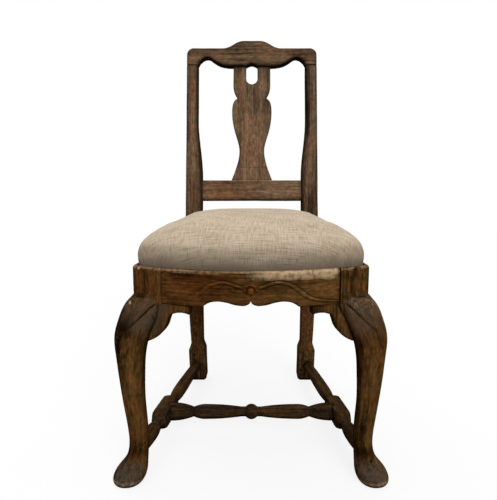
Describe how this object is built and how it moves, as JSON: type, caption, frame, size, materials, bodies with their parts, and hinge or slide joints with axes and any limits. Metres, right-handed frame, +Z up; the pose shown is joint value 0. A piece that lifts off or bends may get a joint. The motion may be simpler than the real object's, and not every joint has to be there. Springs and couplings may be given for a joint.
{
  "type": "side chair",
  "caption": "Bow-fronted wooden side chair with cabriole legs, turned stretchers, a vase-shaped back splat and a loose linen drop-in seat that lifts out.",
  "frame": {"origin": "on the floor, under the middle of the chair's overall box", "axes": "+Z up along the height, -Y towards the front of the chair, +X to the right seen from the front"},
  "size_m": [0.5448, 0.5664, 0.957],
  "materials": {
    "stained_wood": "satin, worn",
    "pegs": "satin",
    "seat_frame_wood": "bare",
    "webbing": "woven",
    "hessian": "woven",
    "stuffing": "fibrous",
    "linen": "slubby plain weave"
  },
  "bodies": {
    "chair_frame": {"front_leg_left": "stained_wood", "front_leg_right": "stained_wood", "rear_leg_left": "stained_wood", "rear_leg_right": "stained_wood", "front_rail": "stained_wood", "side_rail_left": "stained_wood", "side_rail_right": "stained_wood", "rear_rail": "stained_wood", "crest_rail": "stained_wood", "splat": "stained_wood", "lower_back_rail": "stained_wood", "side_stretcher_left": "stained_wood", "side_stretcher_right": "stained_wood", "medial_stretcher": "stained_wood", "knee_bracket_front_left": "stained_wood", "knee_bracket_front_right": "stained_wood", "knee_bracket_side_left": "stained_wood", "knee_bracket_side_right": "stained_wood", "pegs_side_rails": "pegs", "pegs_rear_rail": "pegs", "pegs_crest": "pegs"},
    "drop_in_seat": {"seat_frame_front": "seat_frame_wood", "seat_frame_rear": "seat_frame_wood", "seat_frame_left": "seat_frame_wood", "seat_frame_right": "seat_frame_wood", "seat_webbing": "webbing", "seat_hessian": "hessian", "seat_stuffing": "stuffing", "seat_cover": "linen"}
  },
  "joints": [
    {"name": "seat_lift", "type": "slide", "parent": "chair_frame", "child": "drop_in_seat", "axis": [0, 0, 1], "range_m": [0, 0.12]}
  ]
}
